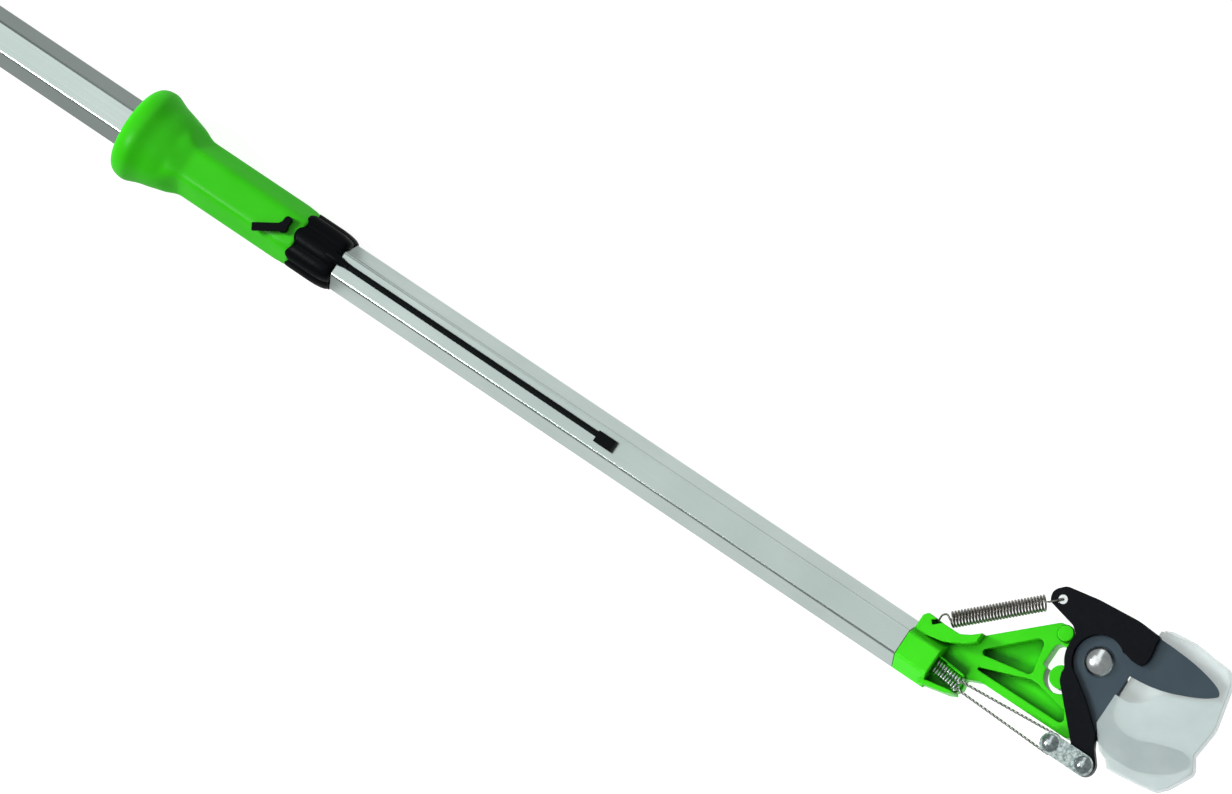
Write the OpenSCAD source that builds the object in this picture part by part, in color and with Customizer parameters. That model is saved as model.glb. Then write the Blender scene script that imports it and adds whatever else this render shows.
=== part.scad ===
// Long-reach tree pruner: a hexagonal pole with a slide grip near its middle and a
// bypass cutting head at the far end. Pulling the grip back draws a cord that runs
// along the pole, into it through an inlet, and round a small sheave in the head.
// Millimetres. X runs along the pole to the head, Z is the normal of the cutting
// plane, and X = 0 is the hanging hole behind the pole. The pole axis is Y = Z = 0.

/* [Pole] */
// Length of the aluminium tube
pole_len = 1380; // [1250:10:1700]
// Size of the tube across its flats
pole_af = 28.4; // [27:0.2:30]
// Wall of the tube
pole_wall = 1.6; // [1.2:0.1:2]
// Rounding of the tube's six edges
pole_edge = 2.5; // [1.5:0.1:3.5]
// Hanging hole to the rear end of the tube
tail_len = 20; // [16:1:30]
// Radius of the hanging hole
hang_r = 4; // [3:0.5:5]
// Thickness of the tab round the hanging hole
tab_t = 10; // [8:1:14]
// Length of the hand sleeve at the rear end
rear_len = 150; // [100:5:220]

/* [Slide grip] */
// Rear face of the flare, back from the front end of the tube
grip_back = 592; // [585:1:700]
// Length of the sleeve with its flare
grip_len = 133; // [120:1:150]
// Wall of the sleeve on its flats
grip_wall = 3.3; // [2.8:0.1:4.5]
// Rounding of the sleeve's edges
grip_edge = 6; // [4:0.5:8]
// Largest radius of the flare
flare_r = 30.8; // [28.5:0.2:32]
// Size of the flare across its six flats
flare_af = 54; // [53:0.5:56]
// Length of the flare
flare_len = 56; // [48:1:62]
// Length of the ribbed nose ring
ring_len = 30; // [26:1:36]
// Lobes round the nose ring
ring_lobes = 8; // [7:1:10]
// Turn of the lobes from the top of the ring
ring_turn = 6.5; // [0:0.5:15]
// Radius of each lobe
lobe_r = 8; // [6:0.5:9]

/* [Lock lever] */
// Lever shaft, back from the front end of the sleeve
lock_back = 10.5; // [10:0.5:20]
// Length of the lever's handle
lock_len = 18; // [14:0.5:22]
// Width of the lever's handle
lock_w = 5; // [3.6:0.2:5.4]
// Thickness of the lever
lock_t = 3; // [2:0.2:4]
// Angle of the handle from the pole, seen from the front
lock_deg = 31; // [20:1:40]

/* [Pull cord] */
// Diameter of the covered cord along the pole
cord_d = 3.4; // [2.8:0.1:3.6]
// Offset of the cord from the middle of the tube's face
cord_y = 1.9; // [1:0.1:2]
// Rear face of the inlet, ahead of the nose ring
inlet_ahead = 200; // [180:1:215]
// Length of the inlet hood
inlet_l = 12.4; // [12:0.2:15]
// Width of the inlet hood
inlet_w = 7.7; // [7.6:0.1:10]
// Height of the inlet hood over the tube
inlet_h = 4.6; // [4.4:0.1:6]
// Diameter of the bare wire rope in the head
rope_d = 1.5; // [1.2:0.1:1.8]

/* [Cutting head] */
// Pivot ahead of the front end of the tube
pivot_x = 105; // [103:0.5:107]
// Pivot above the pole axis
pivot_y = 56; // [55:0.5:57.5]
// Thickness of the blade and of the hook
plate_t = 3.2; // [2.5:0.1:3.4]
// Thickness of the lever with its cover
lever_t = 6.7; // [6.2:0.1:8]
// Depth of the green frame behind the cutting plane
frame_t = 14; // [12:0.5:15]
// Depth of the two pockets in the frame
pocket_t = 9; // [6:0.5:10]
// Length of the green collar ahead of the tube
collar_len = 23; // [22:0.5:24]
// Length of the spigot inside the tube
spigot_len = 34; // [28:1:45]
// Opening angle of the jaws
jaw_deg = 46; // [40:1:47]
// Radius of the bare boss round the pivot
boss_r = 15.9; // [15:0.1:16.4]
// Radius of the pivot bolt
bolt_r = 5; // [4:0.5:6]
// Radius of the bolt's domed head
bolt_head_r = 9.5; // [8.5:0.1:11]
// Radius of the stop pin
stop_r = 5.4; // [4.8:0.1:5.6]

/* [Link and sheave] */
// Distance between the two pins of the link
link_pitch = 24; // [22:0.5:25]
// Half width of the link
link_r = 6.4; // [6.2:0.1:6.6]
// Thickness of each link plate
link_t = 2; // [1.5:0.1:2.5]
// Radius of the link pins
pin_r = 2.6; // [2.2:0.1:3]
// Radius of the rivet heads
rivet_r = 5.5; // [4.5:0.1:5.8]
// Radius of the rope's middle on the sheave
sheave_r = 6.2; // [5.8:0.1:6.4]

/* [Return spring] */
// Outer diameter of the return spring
spring_od = 9.6; // [8:0.2:10]
// Wire of the return spring
spring_d = 1.2; // [0.9:0.1:1.3]
// Curls of the return spring
spring_n = 30; // [24:1:32]
// Outer diameter of the two coiled rope guides
guide_od = 4.8; // [4.4:0.1:4.9]
// Wire of the rope guides
guide_d = 0.9; // [0.7:0.1:1]
// Curls of each rope guide
guide_n = 9; // [7:1:13]

/* [Blade guard] */
// Wall of the guard
guard_t = 1.5; // [1.2:0.1:1.6]
// Mouth of the guard ahead of the pivot
guard_mouth = 20; // [19.5:0.1:21]

/* [Fits] */
// Radial clearance of shafts in their holes
run_fit = 0.06; // [0.03:0.01:0.1]
// Gap between faces that slide past each other
slide_gap = 0.3; // [0.25:0.05:0.4]
// Gap of pieces that are seated in one another
seat = 0.03; // [0.02:0.01:0.05]

/* [Hidden] */
$fn = 64;
green = [0.2, 0.78, 0.1];
black = [0.07, 0.08, 0.09];
steel = [0.3, 0.35, 0.38];
zinc = [0.62, 0.68, 0.67];
alu = [0.78, 0.82, 0.81];

hx = tail_len + pole_len;         // front end of the tube
px = hx + pivot_x;                // pivot along the pole
pole_r = pole_af / 2;
in_r = pole_r - pole_wall;        // inner flat of the tube
grip_r = pole_r + slide_gap + grip_wall;
gx0 = hx - grip_back;             // rear face of the flare
gx1 = gx0 + grip_len;             // front end of the sleeve
rx1 = gx1 + ring_len;             // front end of the ring
ring_r = grip_r + 1.1;            // top of the lobes
floor_z = -flare_af / 2;          // what the tool lies on
cord_r = cord_d / 2;
cord_z = pole_r + cord_r + 0.05;  // cord on the tube's face
deep_z = in_r - cord_r - 3.4;     // cord inside the tube
ix0 = rx1 + inlet_ahead;          // rear face of the inlet hood
bz0 = slide_gap;                  // back of the moving plate
bz1 = bz0 + plate_t;              // front of the moving plate
lz1 = bz0 + lever_t;              // front of the lever
mid_z = (bz0 + lz1) / 2;          // middle of lever, sheave and rope
rope_r = rope_d / 2;
arm = [28, -56.8];                // link pin from the pivot
eye = [-38.5, 19.1];              // spring eye from the pivot
stop_at = [-26.1, 3];             // stop pin from the pivot
key_at = [-14.9, -20.4];          // round key that holds the hook, from the pivot
key_r = 7.2;
pin2 = [px + arm[0], pivot_y + arm[1]];
pin1 = [pin2[0] - link_pitch, pin2[1]];
hook_from = [hx + 9.5, 21.3];     // rear end of the spring
eye_at = [px + eye[0], pivot_y + eye[1]];
splice_x = hx - spigot_len - 80;  // rear end of the rope splice
guide_x = hx + collar_len + 0.6;  // rear end of the rope guides
guide_len = 18;
gy = [[1.8, 0.1], [-3.1, -5]];    // both guides: offsets at their rear and front ends

// Unit vector, and the angle of a plane vector
function unit(v) = v / norm(v);
function turn_of(v) = atan2(v[1], v[0]);
// Smallest signed angle from a to b
function swing(a, b) = let (d = b - a) d > 180 ? d - 360 : d < -180 ? d + 360 : d;
// Points of a hexagon with rounded corners, flats up and down
function rhex(a, r, n = 6) = [for (k = [0:5]) for (i = [0:n]) let (t = 60*k - 30 + 60*i/n)
  (a - r)/cos(30)*[cos(60*k), sin(60*k)] + r*[cos(t), sin(t)]];
// Arc of a circle as points
function arc(c, r, a, b, n = 24) = [for (i = [0:n]) let (t = a + (b - a)*i/n)
  [c[0] + r*cos(t), c[1] + r*sin(t)]];
// Outline from corners [x, y, rounding]
function rpoly(v, n = 6) = let (m = len(v)) [for (i = [0:m - 1])
  let (p = [v[i][0], v[i][1]], q = v[(i + m - 1) % m], s = v[(i + 1) % m], r = v[i][2])
  each r == 0 ? [p] : let (a = unit([q[0], q[1]] - p), b = unit([s[0], s[1]] - p),
    h = acos(a*b)/2, c = p + unit(a + b)*r/sin(h), t = r/tan(h),
    a0 = turn_of(p + a*t - c), da = swing(a0, turn_of(p + b*t - c)))
  [for (j = [0:n]) c + r*[cos(a0 + da*j/n), sin(a0 + da*j/n)]]];
// The same corners moved inward by d, for outlines listed anticlockwise
function inset(v, d) = let (m = len(v)) [for (i = [0:m - 1])
  let (p = [v[i][0], v[i][1]], q = v[(i + m - 1) % m], s = v[(i + 1) % m],
    e = unit(p - [q[0], q[1]]), f = unit([s[0], s[1]] - p),
    n1 = [-e[1], e[0]], n2 = [-f[1], f[0]], w = (n1 + n2)/(1 + n1*n2),
    left = e[0]*f[1] - e[1]*f[0] > 0)
  [p[0] + d*w[0], p[1] + d*w[1], v[i][2] == 0 ? 0 : left ? max(0.4, v[i][2] - d) : v[i][2] + d]];
// Smooth open curve through points
function curve(p, n = 6) = let (m = len(p) - 1) concat([for (i = [0:m - 1])
  let (a = p[max(i - 1, 0)], b = p[i], c = p[i + 1], d = p[min(i + 2, m)])
  for (j = [0:n - 1]) let (t = j/n)
    0.5*(2*b + (c - a)*t + (2*a - 5*b + 4*c - d)*t*t + (3*b - a - 3*c + d)*t*t*t)], [p[m]]);
// Tube of radius r swept along 3-D points: one closed skin of triangles
function ring_at(p, i, r, k) = let (m = len(p) - 1,
    t = unit(unit(p[min(i + 1, m)] - p[i] + [1e-9, 0, 0]) + unit(p[i] - p[max(i - 1, 0)] + [1e-9, 0, 0])),
    ref = abs(t[2]) > 0.8 ? [0, 1, 0] : [0, 0, 1], s = unit(cross(ref, t)), u = cross(t, s))
  [for (j = [0:k - 1]) p[i] + r*(cos(360*j/k)*s + sin(360*j/k)*u)];
module sweep(p, r, k = 6) {
  m = len(p);
  polyhedron([for (i = [0:m - 1]) each ring_at(p, i, r, k)],
    concat([for (j = [1:k - 2]) [0, j, j + 1]],
      [for (i = [0:m - 2]) for (j = [0:k - 1]) let (a = i*k + j, b = i*k + (j + 1) % k)
        each [[a, a + k, b], [b, a + k, b + k]]],
      [for (j = [1:k - 2]) [(m - 1)*k, (m - 1)*k + j + 1, (m - 1)*k + j]]));
}
// Coil along an axis: c start, d unit axis, n curls, R mean radius, l length
function coil(c, d, n, R, l, q = 8) = let (s = [-d[1], d[0], 0]) [for (i = [0:n*q])
  let (t = 360*i/q) c + d*l*i/(n*q) + R*(cos(t)*s + sin(t)*[0, 0, 1])];
// Least gap of a wound wire to itself, measured between points of different curls
function self_gap(p, d, q = 8) = min([for (i = [0:len(p) - 1]) for (j = [i + 6:1:min(i + 2*q, len(p) - 1)])
  norm(p[i] - p[j]) - d]);

module along_x(x0, l) { translate([x0, 0, 0]) rotate([90, 0, 90]) linear_extrude(l) children(); }
module rod_x(x0, l, r, y = 0, z = 0) { translate([x0, y, z]) rotate([0, 90, 0]) cylinder(h = l, r = r); }
module plate(z0, t) { translate([0, 0, z0]) linear_extrude(t) children(); }
module at_pivot() { translate([px, pivot_y, 0]) children(); }
module at_hx() { translate([hx, 0, 0]) children(); }
module disc(c, r, z0, z1) { translate([c[0], c[1], z0]) cylinder(h = z1 - z0, r = r); }
// Low dome standing on z = 0
module dome(r, h) {
  R = (r*r + h*h)/(2*h);
  intersection() { translate([0, 0, h - R]) sphere(R, $fn = 96); cylinder(h = h, r = r); }
}

// Hexagonal aluminium tube with the window for the cord and two screw holes
module pole_tube() color(alu) difference() {
  along_x(tail_len, pole_len) difference() {
    polygon(rhex(pole_r, pole_edge));
    polygon(rhex(in_r, max(0.6, pole_edge - pole_wall)));
  }
  translate([ix0 + 0.4, cord_y - cord_r - 0.3, in_r - 2]) cube([inlet_l - 0.8, cord_d + 0.6, 8]);
  for (f = screw_at) disc([hx - f, 0], 2 + run_fit, -pole_r - 1, -in_r + 1);
}
screw_at = [spigot_len*0.3, spigot_len*0.72];

// Hand sleeve at the rear end
module rear_grip() color(black) along_x(tail_len + 14, rear_len) difference() {
  polygon(rhex(pole_r + grip_wall, grip_edge));
  polygon(rhex(pole_r + seat, pole_edge));
}

// End cap with a tab and the hanging hole
module end_cap() color(green) difference() {
  union() {
    along_x(tail_len - 10, 24) polygon(rhex(pole_r + grip_wall + 0.6, grip_edge));
    plate(-tab_t/2, tab_t) circle(13);
    translate([0, -13, -tab_t/2]) cube([tail_len - 8, 26, tab_t]);
  }
  along_x(tail_len, 20) polygon(rhex(pole_r + seat, pole_edge));
  disc([0, 0], hang_r, -tab_t, tab_t);
}

// Hood over the window where the cord enters the pole
module cord_inlet() color(black) difference() {
  translate([ix0, cord_y + cord_r + 0.95 - inlet_w, pole_r]) cube([inlet_l, inlet_w, inlet_h]);
  translate([ix0 - 1, cord_y - cord_r - 0.3, pole_r - 1]) cube([inlet_l, cord_d + 0.6, cord_d + 1.5]);
}

// Corners of the hook's plate, from the pivot
hook_rim = concat([[-14.2, -6], [-14.6, -15], [-7, -27.2], [12, -42]],
  curve([[24, -39.8], [34.8, -43], [43.8, -43.6], [54.9, -42.2], [64.2, -38.3], [72.7, -32.7],
    [78.2, -26.9], [79.9, -22], [77.4, -18.4], [72.6, -17.2], [65.5, -18.7], [56.9, -21.5],
    [48.1, -25.3], [40.4, -27.2], [32.7, -26.6], [26.9, -24.1], [23.3, -20], [21.2, -13.4],
    [20.6, -7.1], [20.4, -0.5]], 4), [[13, 8]]);
module hook_2d(gap = 0) difference() {
  union() { circle(boss_r); polygon(hook_rim); }
  translate(key_at) circle(key_r + gap);
}
// Fixed hook that the blade passes
module hook_blade() color(steel) at_pivot() plate(-plate_t, plate_t) difference() {
  hook_2d(seat);
  circle(bolt_r + run_fit);
}

// Corners of the green truss, from the pivot
truss = [[-66, -54.6, 2], [-54.5, -49.6, 6], [9, -49.4, 4], [14, -41, 4], [-2, -26, 6], [-12, -9, 4],
  [-20.7, 3, 3], [-26.1, 8.3, 4.5], [-33, 7.2, 6], [-72.6, -29.6, 8], [-80, -33.2, 5], [-86, -33.2, 0],
  [-86, -50, 0]];
upper_pocket = [[-68.2, -36.4, 2.2], [-30.2, -29.4, 3], [-35.2, -4.6, 3.5]];
lower_pocket = [[-65, -44.6, 1], [3, -43.6, 2.5], [-1.4, -35.8, 3], [-24, -31.4, 8], [-29.5, -31.4, 3]];
// Opening between truss and lever, round the key
throat = [[-28.3, -20, 2], [-12, -22, 0], [-4, -14, 4], [-16, -3.4, 3], [-28.3, -4, 4]];
module strut(a, b, w) {
  d = b - a;
  translate(a) rotate(turn_of(d)) translate([0, -w/2]) square([norm(d), w]);
}
// Dark joint between tube and collar
joint_gap = 0.5;
// Neck outlines, from the front end of the tube
neck = [[20, -14.9, 0], [38.2, -10.7, 4], [43.2, -4, 3], [41.6, 2, 0], [45, 6, 0], [45, 33, 0],
  [36.5, 31, 0], [32, 26.8, 4], [26, 23.4, 6], [18, 23.2, 0]];
flange = [[joint_gap, 10, 0], [20, 14, 0], [27, 17.6, 6], [33, 21, 6], [37.2, 25, 0], [37.2, 31.4, 0],
  [32, 26.8, 4], [26, 23.4, 6], [10, 23.2, 3], [3, 24, 2.5], [joint_gap, 21, 2]];
belly = [[20, -14.9, 0], [37, -11.2, 4], [41.8, -8.9, 0.8], [41, -7.8, 0], [37, -8.4, 3], [20, -11.6, 0]];
module head_frame() color(green) difference() {
  union() {
    along_x(hx + joint_gap, collar_len - joint_gap) polygon(rhex(pole_r, pole_edge));
    along_x(hx - spigot_len, spigot_len + 1) polygon(rhex(in_r - seat, 1.2));
    at_hx() {
      plate(-frame_t, frame_t - 5) polygon(rpoly(neck));
      plate(-frame_t, frame_t + 9) polygon(rpoly(flange));
      plate(-frame_t, frame_t + 8.5) polygon(rpoly(belly));
      plate(-frame_t, frame_t + 0.8) polygon([[20, -12], [38, -9], [41.4, -5], [41.4, 3.6], [20, 5.6]]);
      plate(-frame_t, frame_t + 6.5) polygon([[20, 4.9], [41.2, 2.9], [41.2, 4.5], [20, 6.5]]);
    }
    at_pivot() {
      plate(-frame_t, frame_t) difference() {
        polygon(rpoly(truss));
        polygon(rpoly(throat));
        translate(key_at) circle(key_r + 3.1);
      }
      plate(-frame_t, frame_t - plate_t) {
        circle(14);
        strut(stop_at, [0, 0], 9);
        strut(key_at, [0, 0], 10);
        strut([7, -43], [0, 0], 14);
      }
      plate(-frame_t, frame_t - 0.1) translate(key_at) circle(key_r);
    }
  }
  at_pivot() {
    plate(-pocket_t, frame_t) { polygon(rpoly(upper_pocket)); polygon(rpoly(lower_pocket)); }
    plate(-plate_t, plate_t + 1) hook_2d();
    disc([0, 0], bolt_r + run_fit, -frame_t - 1, 1);
    disc(stop_at, 3 + run_fit, -8, 1);
  }
  // Way of the ropes through the spigot and the collar
  translate([hx - spigot_len - 1, -6.3, -3]) cube([spigot_len + 8, 11.5, 12.5]);
  translate([hx + 6, -6.3, 0.8]) cube([collar_len, 11.2, 8.7]);
  // Notch and hole for the rear end of the spring
  translate([hook_from[0] - 2, hook_from[1] - 1.3, mid_z - 1.2]) rotate(turn_of(eye_at - hook_from))
    translate([0, -1.6, 0]) cube([14, 3.2, 12]);
  disc(hook_from, spring_d/2 + 0.15, mid_z - 5, mid_z + 9);
  for (f = screw_at) disc([hx - f, 0], 2, -pole_r, -4.5);
}

// Screws that hold the spigot in the tube, from the back
module socket_screws() color(zinc) for (f = screw_at) translate([hx - f, 0, 0]) {
  disc([0, 0], 2 - seat, -pole_r, -6);
  translate([0, 0, -pole_r]) rotate([180, 0, 0]) dome(4, 2.2);
}

// Stop that the open lever rests against
module stop_pin() color(green) at_pivot() {
  disc(stop_at, 3, -7.9, 0);
  disc(stop_at, stop_r, 0, 6);
}

// Bolt, washer and nut of the pivot
module pivot_bolt() color(zinc) at_pivot() {
  disc([0, 0], bolt_r, floor_z, bz1 + slide_gap);
  translate([0, 0, bz1 + slide_gap]) dome(bolt_head_r, 5.2);
}
module pivot_washer() color(zinc) at_pivot() difference() {
  disc([0, 0], 10.5, -frame_t - 1.2, -frame_t);
  disc([0, 0], bolt_r + run_fit, -frame_t - 2, -frame_t + 1);
}
module pivot_nut() color(zinc) at_pivot() difference() {
  translate([0, 0, -frame_t - 9.2]) cylinder(h = 8, r = 9.8, $fn = 6);
  disc([0, 0], bolt_r + run_fit, -frame_t - 10, -frame_t);
}

// Two coiled guides where the ropes leave the neck
guide_path = [for (g = gy) let (a = [guide_x, g[0], mid_z], d = unit([guide_len, g[1] - g[0], 0]))
  coil(a, d, guide_n, (guide_od - guide_d)/2, guide_len)];
module rope_guides() color(zinc) for (p = guide_path) sweep(p, guide_d/2);
echo("rope guide gap", self_gap(guide_path[0], guide_d));

// Wire rope: from the splice inside the pole round the sheave and back to the collar
gx1e = guide_x + guide_len;
wire_path = concat([[splice_x + 14, cord_y, deep_z], [hx - 2.2*spigot_len, cord_y, deep_z],
    [hx - 0.4*spigot_len, gy[0][0], mid_z + 0.6], [guide_x, gy[0][0], mid_z], [gx1e, gy[0][1], mid_z]],
  [for (t = arc(pin1, sheave_r, 94, -91, 18)) [t[0], t[1], mid_z]],
  [[gx1e, gy[1][1], mid_z], [guide_x, gy[1][0], mid_z], [hx + 12, gy[1][0] + 0.3, mid_z]]);
module wire_rope() color(zinc) sweep(wire_path, rope_r, 8);

// Return spring: its rear end drops into the frame, its front end lies over the
// lever's face and drops into the pin
spring_u = unit([eye_at[0] - hook_from[0], eye_at[1] - hook_from[1], 0]);
spring_l = norm(eye_at - hook_from);
coil_from = 10.2;
coil_len = spring_l - 21.4;
spring_up = lz1 + spring_d/2 + 0.15 - mid_z;
spring_R = (spring_od - spring_d)/2;
spring_p0 = [hook_from[0], hook_from[1], mid_z];
spring_coil = coil(spring_p0 + coil_from*spring_u, spring_u, spring_n + 0.25, spring_R, coil_len);
spring_path = concat([spring_p0 - [0, 0, 4], spring_p0 - [0, 0, 1.4], spring_p0 + 0.5*spring_u - [0, 0, 0.4],
    spring_p0 + 1.6*spring_u, spring_p0 + (coil_from - 2.6)*spring_u,
    spring_p0 + (coil_from - 1.2)*spring_u],
  spring_coil,
  [spring_p0 + (spring_l - 9)*spring_u + [0, 0, spring_up],
    spring_p0 + (spring_l - 1.1)*spring_u + [0, 0, spring_up],
    spring_p0 + (spring_l - 0.3)*spring_u + [0, 0, spring_up - 0.5],
    spring_p0 + spring_l*spring_u + [0, 0, spring_up - 1.4], spring_p0 + spring_l*spring_u - [0, 0, 2.8]]);
module tension_spring() color(zinc) sweep(spring_path, spring_d/2);
echo("spring gap", self_gap(spring_coil, spring_d));

// Green sliding sleeve with its flare
bell = [[0, 8], [0, flare_r - 6], [1.2, flare_r - 3.2], [3.6, flare_r - 1], [8.5, flare_r], [13, flare_r - 0.6],
  [21, flare_r - 2.6], [29, flare_r - 5.4], [38, flare_r - 8.4], [46, grip_r + 1.6], [flare_len, grip_r - 0.3],
  [flare_len, 8]];
module grip_sleeve() color(green) difference() {
  union() {
    along_x(gx0 + 6, grip_len - 6) polygon(rhex(grip_r, grip_edge));
    intersection() {
      translate([gx0, 0, 0]) rotate([0, 90, 0]) rotate_extrude($fn = 96)
        polygon([for (b = bell) [b[1], b[0]]]);
      along_x(gx0 - 1, flare_len + 2) polygon(rhex(flare_af/2, 8));
    }
  }
  along_x(gx0 - 1, grip_len + 2) polygon(rhex(pole_r + slide_gap, pole_edge + slide_gap));
  along_x(gx1 - 6, 7) polygon(rhex(pole_r + slide_gap + 1.6, 4));
  disc(lock_pos, 2.2 + run_fit, pole_r, grip_r + 2);
}

// Black ribbed ring on the sleeve's front end, with the outlet of the cord
module grip_ring() color(black) difference() {
  union() {
    intersection() {
      along_x(gx1, ring_len) {
        circle(ring_r - 1.7);
        for (k = [0:ring_lobes - 1]) rotate(90 - ring_turn + 360*k/ring_lobes)
          translate([ring_r - lobe_r, 0]) circle(lobe_r);
      }
      translate([gx1, 0, 0]) rotate([0, 90, 0]) rotate_extrude($fn = 96) polygon([[1, 0], [ring_r - 0.8, 0],
        [ring_r + 0.1, 1.6], [ring_r + 0.1, ring_len*0.62], [ring_r - 0.7, ring_len - 3],
        [ring_r - 2.6, ring_len], [1, ring_len]]);
    }
    along_x(gx1 - 5.9, 7) polygon(rhex(pole_r + slide_gap + 1.6 - seat, 4 - seat));
    translate([rx1 - 3, cord_y, cord_z]) rotate([0, 90, 0]) cylinder(h = 11, r1 = 3.3, r2 = cord_r + 0.5);
  }
  along_x(gx1 - 7, ring_len + 30) polygon(rhex(pole_r + slide_gap, pole_edge + slide_gap));
  rod_x(rx1 - 16, 30, cord_r + seat, cord_y, cord_z);
}

// Covered cord from the ring along the pole and down through the inlet
bend_x = ix0 + 0.3;
bend_l = 19;
cord_path = concat([[rx1 - 15.9, cord_y, cord_z], [rx1 + 20, cord_y, cord_z], [bend_x - 40, cord_y, cord_z]],
  [for (i = [0:12]) [bend_x + bend_l*i/12, cord_y, cord_z - (cord_z - deep_z)*(1 - cos(15*i))/2]],
  [[splice_x - 30, cord_y, deep_z], [splice_x + 12, cord_y, deep_z]]);
module pull_cord() color(black) sweep(cord_path, cord_r, 16);

// Crimped splice between cord and wire rope, inside the pole
module rope_splice() color(zinc) difference() {
  rod_x(splice_x, 26, cord_r + 1.2, cord_y, deep_z);
  rod_x(splice_x - 1, 13.5, cord_r + seat, cord_y, deep_z);
  rod_x(splice_x + 10, 20, rope_r + seat, cord_y, deep_z);
}

// Small lever on the sleeve's face
lock_pos = [gx1 - lock_back, -0.4];
module lock_lever() color(black) translate([lock_pos[0], lock_pos[1], 0]) {
  plate(grip_r + slide_gap, lock_t) {
    circle(3.4);
    rotate(180 + lock_deg) translate([0, -lock_w/2]) square([lock_len + lock_w/3, lock_w]);
    rotate(84) translate([0, -2.4]) square([5.4, 4.8]);
    rotate(84) translate([5.4, 0]) circle(2.4);
  }
  disc([0, 0], 2.2, pole_r + slide_gap + 0.2, grip_r + slide_gap + 1);
}

// Corners of the black lever, from the pivot
lever_rim = [[-44.8, 14, 4], [-24.6, 9.4, 6], [-20.3, 6, 2], [-20.3, -6, 5], [-16.8, -12, 8], [-13, -22.4, 8],
  [14.4, -50.2, 8], [20.6, -61.5, 6], [35, -64, 6.2], [34.6, -53, 6], [27.6, -44.8, 8], [23.6, -37.2, 5],
  [7.2, -23.6, 12], [-1.6, -17.8, 0], [-12.4, -10.4, 0], [0, 0, 0], [10.6, 12.9, 0], [17, 11.2, 6],
  [25.4, 11.2, 4.4], [25.4, 20, 12], [23.7, 28, 6], [23.8, 32.6, 1.2], [8, 33.6, 40],
  [-19.6, 31.1, 40], [-41, 27.2, 7], [-47.2, 20.6, 6]];
stop_turn = turn_of(stop_at);
stop_far = norm(stop_at);
module lever_2d() difference() {
  polygon(rpoly(lever_rim));
  circle(boss_r + seat);
  // Way of the stop pin round the pivot, seen from the lever
  polygon(concat(arc([0, 0], stop_far - stop_r - slide_gap, stop_turn, stop_turn + jaw_deg + 1),
    arc([0, 0], stop_far + 9, stop_turn + jaw_deg + 1, stop_turn)));
  for (t = [0, jaw_deg]) rotate(t) translate(stop_at) circle(stop_r + slide_gap);
}
module lever_body() color(black) at_pivot() difference() {
  plate(bz0, lever_t) lever_2d();
  plate(bz0 - 1, plate_t + 1 + seat) blade_2d(seat);
  disc(eye, 2.9 + seat, bz0 - 1, lz1 + 1);
  disc(arm, pin_r + run_fit, bz0 - 1, lz1 + 1);
}

// Corners of the moving blade with its tang, from the pivot
blade_edge = curve([[20.1, 2.9], [31.3, 4.1], [42.5, 6.6], [54.7, 11.2], [64.9, 16.2], [70.2, 20]], 5);
blade_back = curve([[71, 20.7], [72, 22.6], [69.3, 25.6], [61.9, 28.2], [49.9, 30.4], [35.6, 31.5],
  [23.2, 31.7], [10, 31.2]], 5);
module blade_2d(gap = 0) {
  circle(boss_r - 0.2 + gap);
  polygon(concat(blade_edge, blade_back, [[-4 - gap, 25 + gap], [-9 - gap, 10], [-13 - gap, -8],
    [-6 - gap, -18 - gap], [3 - gap, -25 - gap], [14 - gap, -33 - gap], [22.5, -38.5 - gap], [22.3, -30],
    [20.6, -18], [20.2, -6]]));
}
module cutting_blade() color(steel) at_pivot() difference() {
  plate(bz0, plate_t) blade_2d();
  disc([0, 0], bolt_r + run_fit, bz0 - 1, bz1 + 1);
}

// Tubular pin that takes the spring's front end
module spring_pin() color(zinc) at_pivot() difference() {
  disc(eye, 2.9, bz0, lz1 + 0.6);
  disc(eye, spring_d/2 + 0.25, bz0 - 1, lz1 + 2);
  translate([eye[0], eye[1], mid_z - 0.9]) rotate(180 + turn_of([spring_u[0], spring_u[1]]))
    translate([0, -0.9, 0]) cube([5, 1.8, 6]);
}

// Two-pin link between lever and sheave
module link_2d() {
  translate(pin1) circle(link_r);
  translate(pin2) circle(link_r);
  translate([pin1[0], pin1[1] - link_r]) square([link_pitch, 2*link_r]);
}
module link_plate(z) plate(z, link_t) difference() {
  link_2d();
  translate(pin1) circle(pin_r + seat);
  translate(pin2) circle(pin_r + seat);
}
module link_plate_front() color(zinc) link_plate(lz1 + slide_gap);
module link_plate_rear() color(zinc) link_plate(bz0 - slide_gap - link_t);
module rivet(c) color(zinc) translate([c[0], c[1], 0]) {
  disc([0, 0], pin_r, bz0 - slide_gap - link_t, lz1 + slide_gap + link_t);
  translate([0, 0, lz1 + slide_gap + link_t]) dome(rivet_r, 2.6);
  translate([0, 0, bz0 - slide_gap - link_t]) rotate([180, 0, 0]) dome(rivet_r, 1.8);
}
module link_rivet() rivet(pin2);
module sheave_rivet() rivet(pin1);

// Grooved wheel that the rope turns round
groove = sheave_r - rope_r - 0.12;
module sheave() color(zinc) translate([pin1[0], pin1[1], mid_z]) rotate_extrude() polygon([
  [pin_r + run_fit, -lever_t/2 + 0.2], [sheave_r + 0.1, -lever_t/2 + 0.2], [sheave_r + 0.1, -rope_r - 0.7],
  [groove, -0.5], [groove, 0.5], [sheave_r + 0.1, rope_r + 0.7], [sheave_r + 0.1, lever_t/2 - 0.2],
  [pin_r + run_fit, lever_t/2 - 0.2]]);

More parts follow.
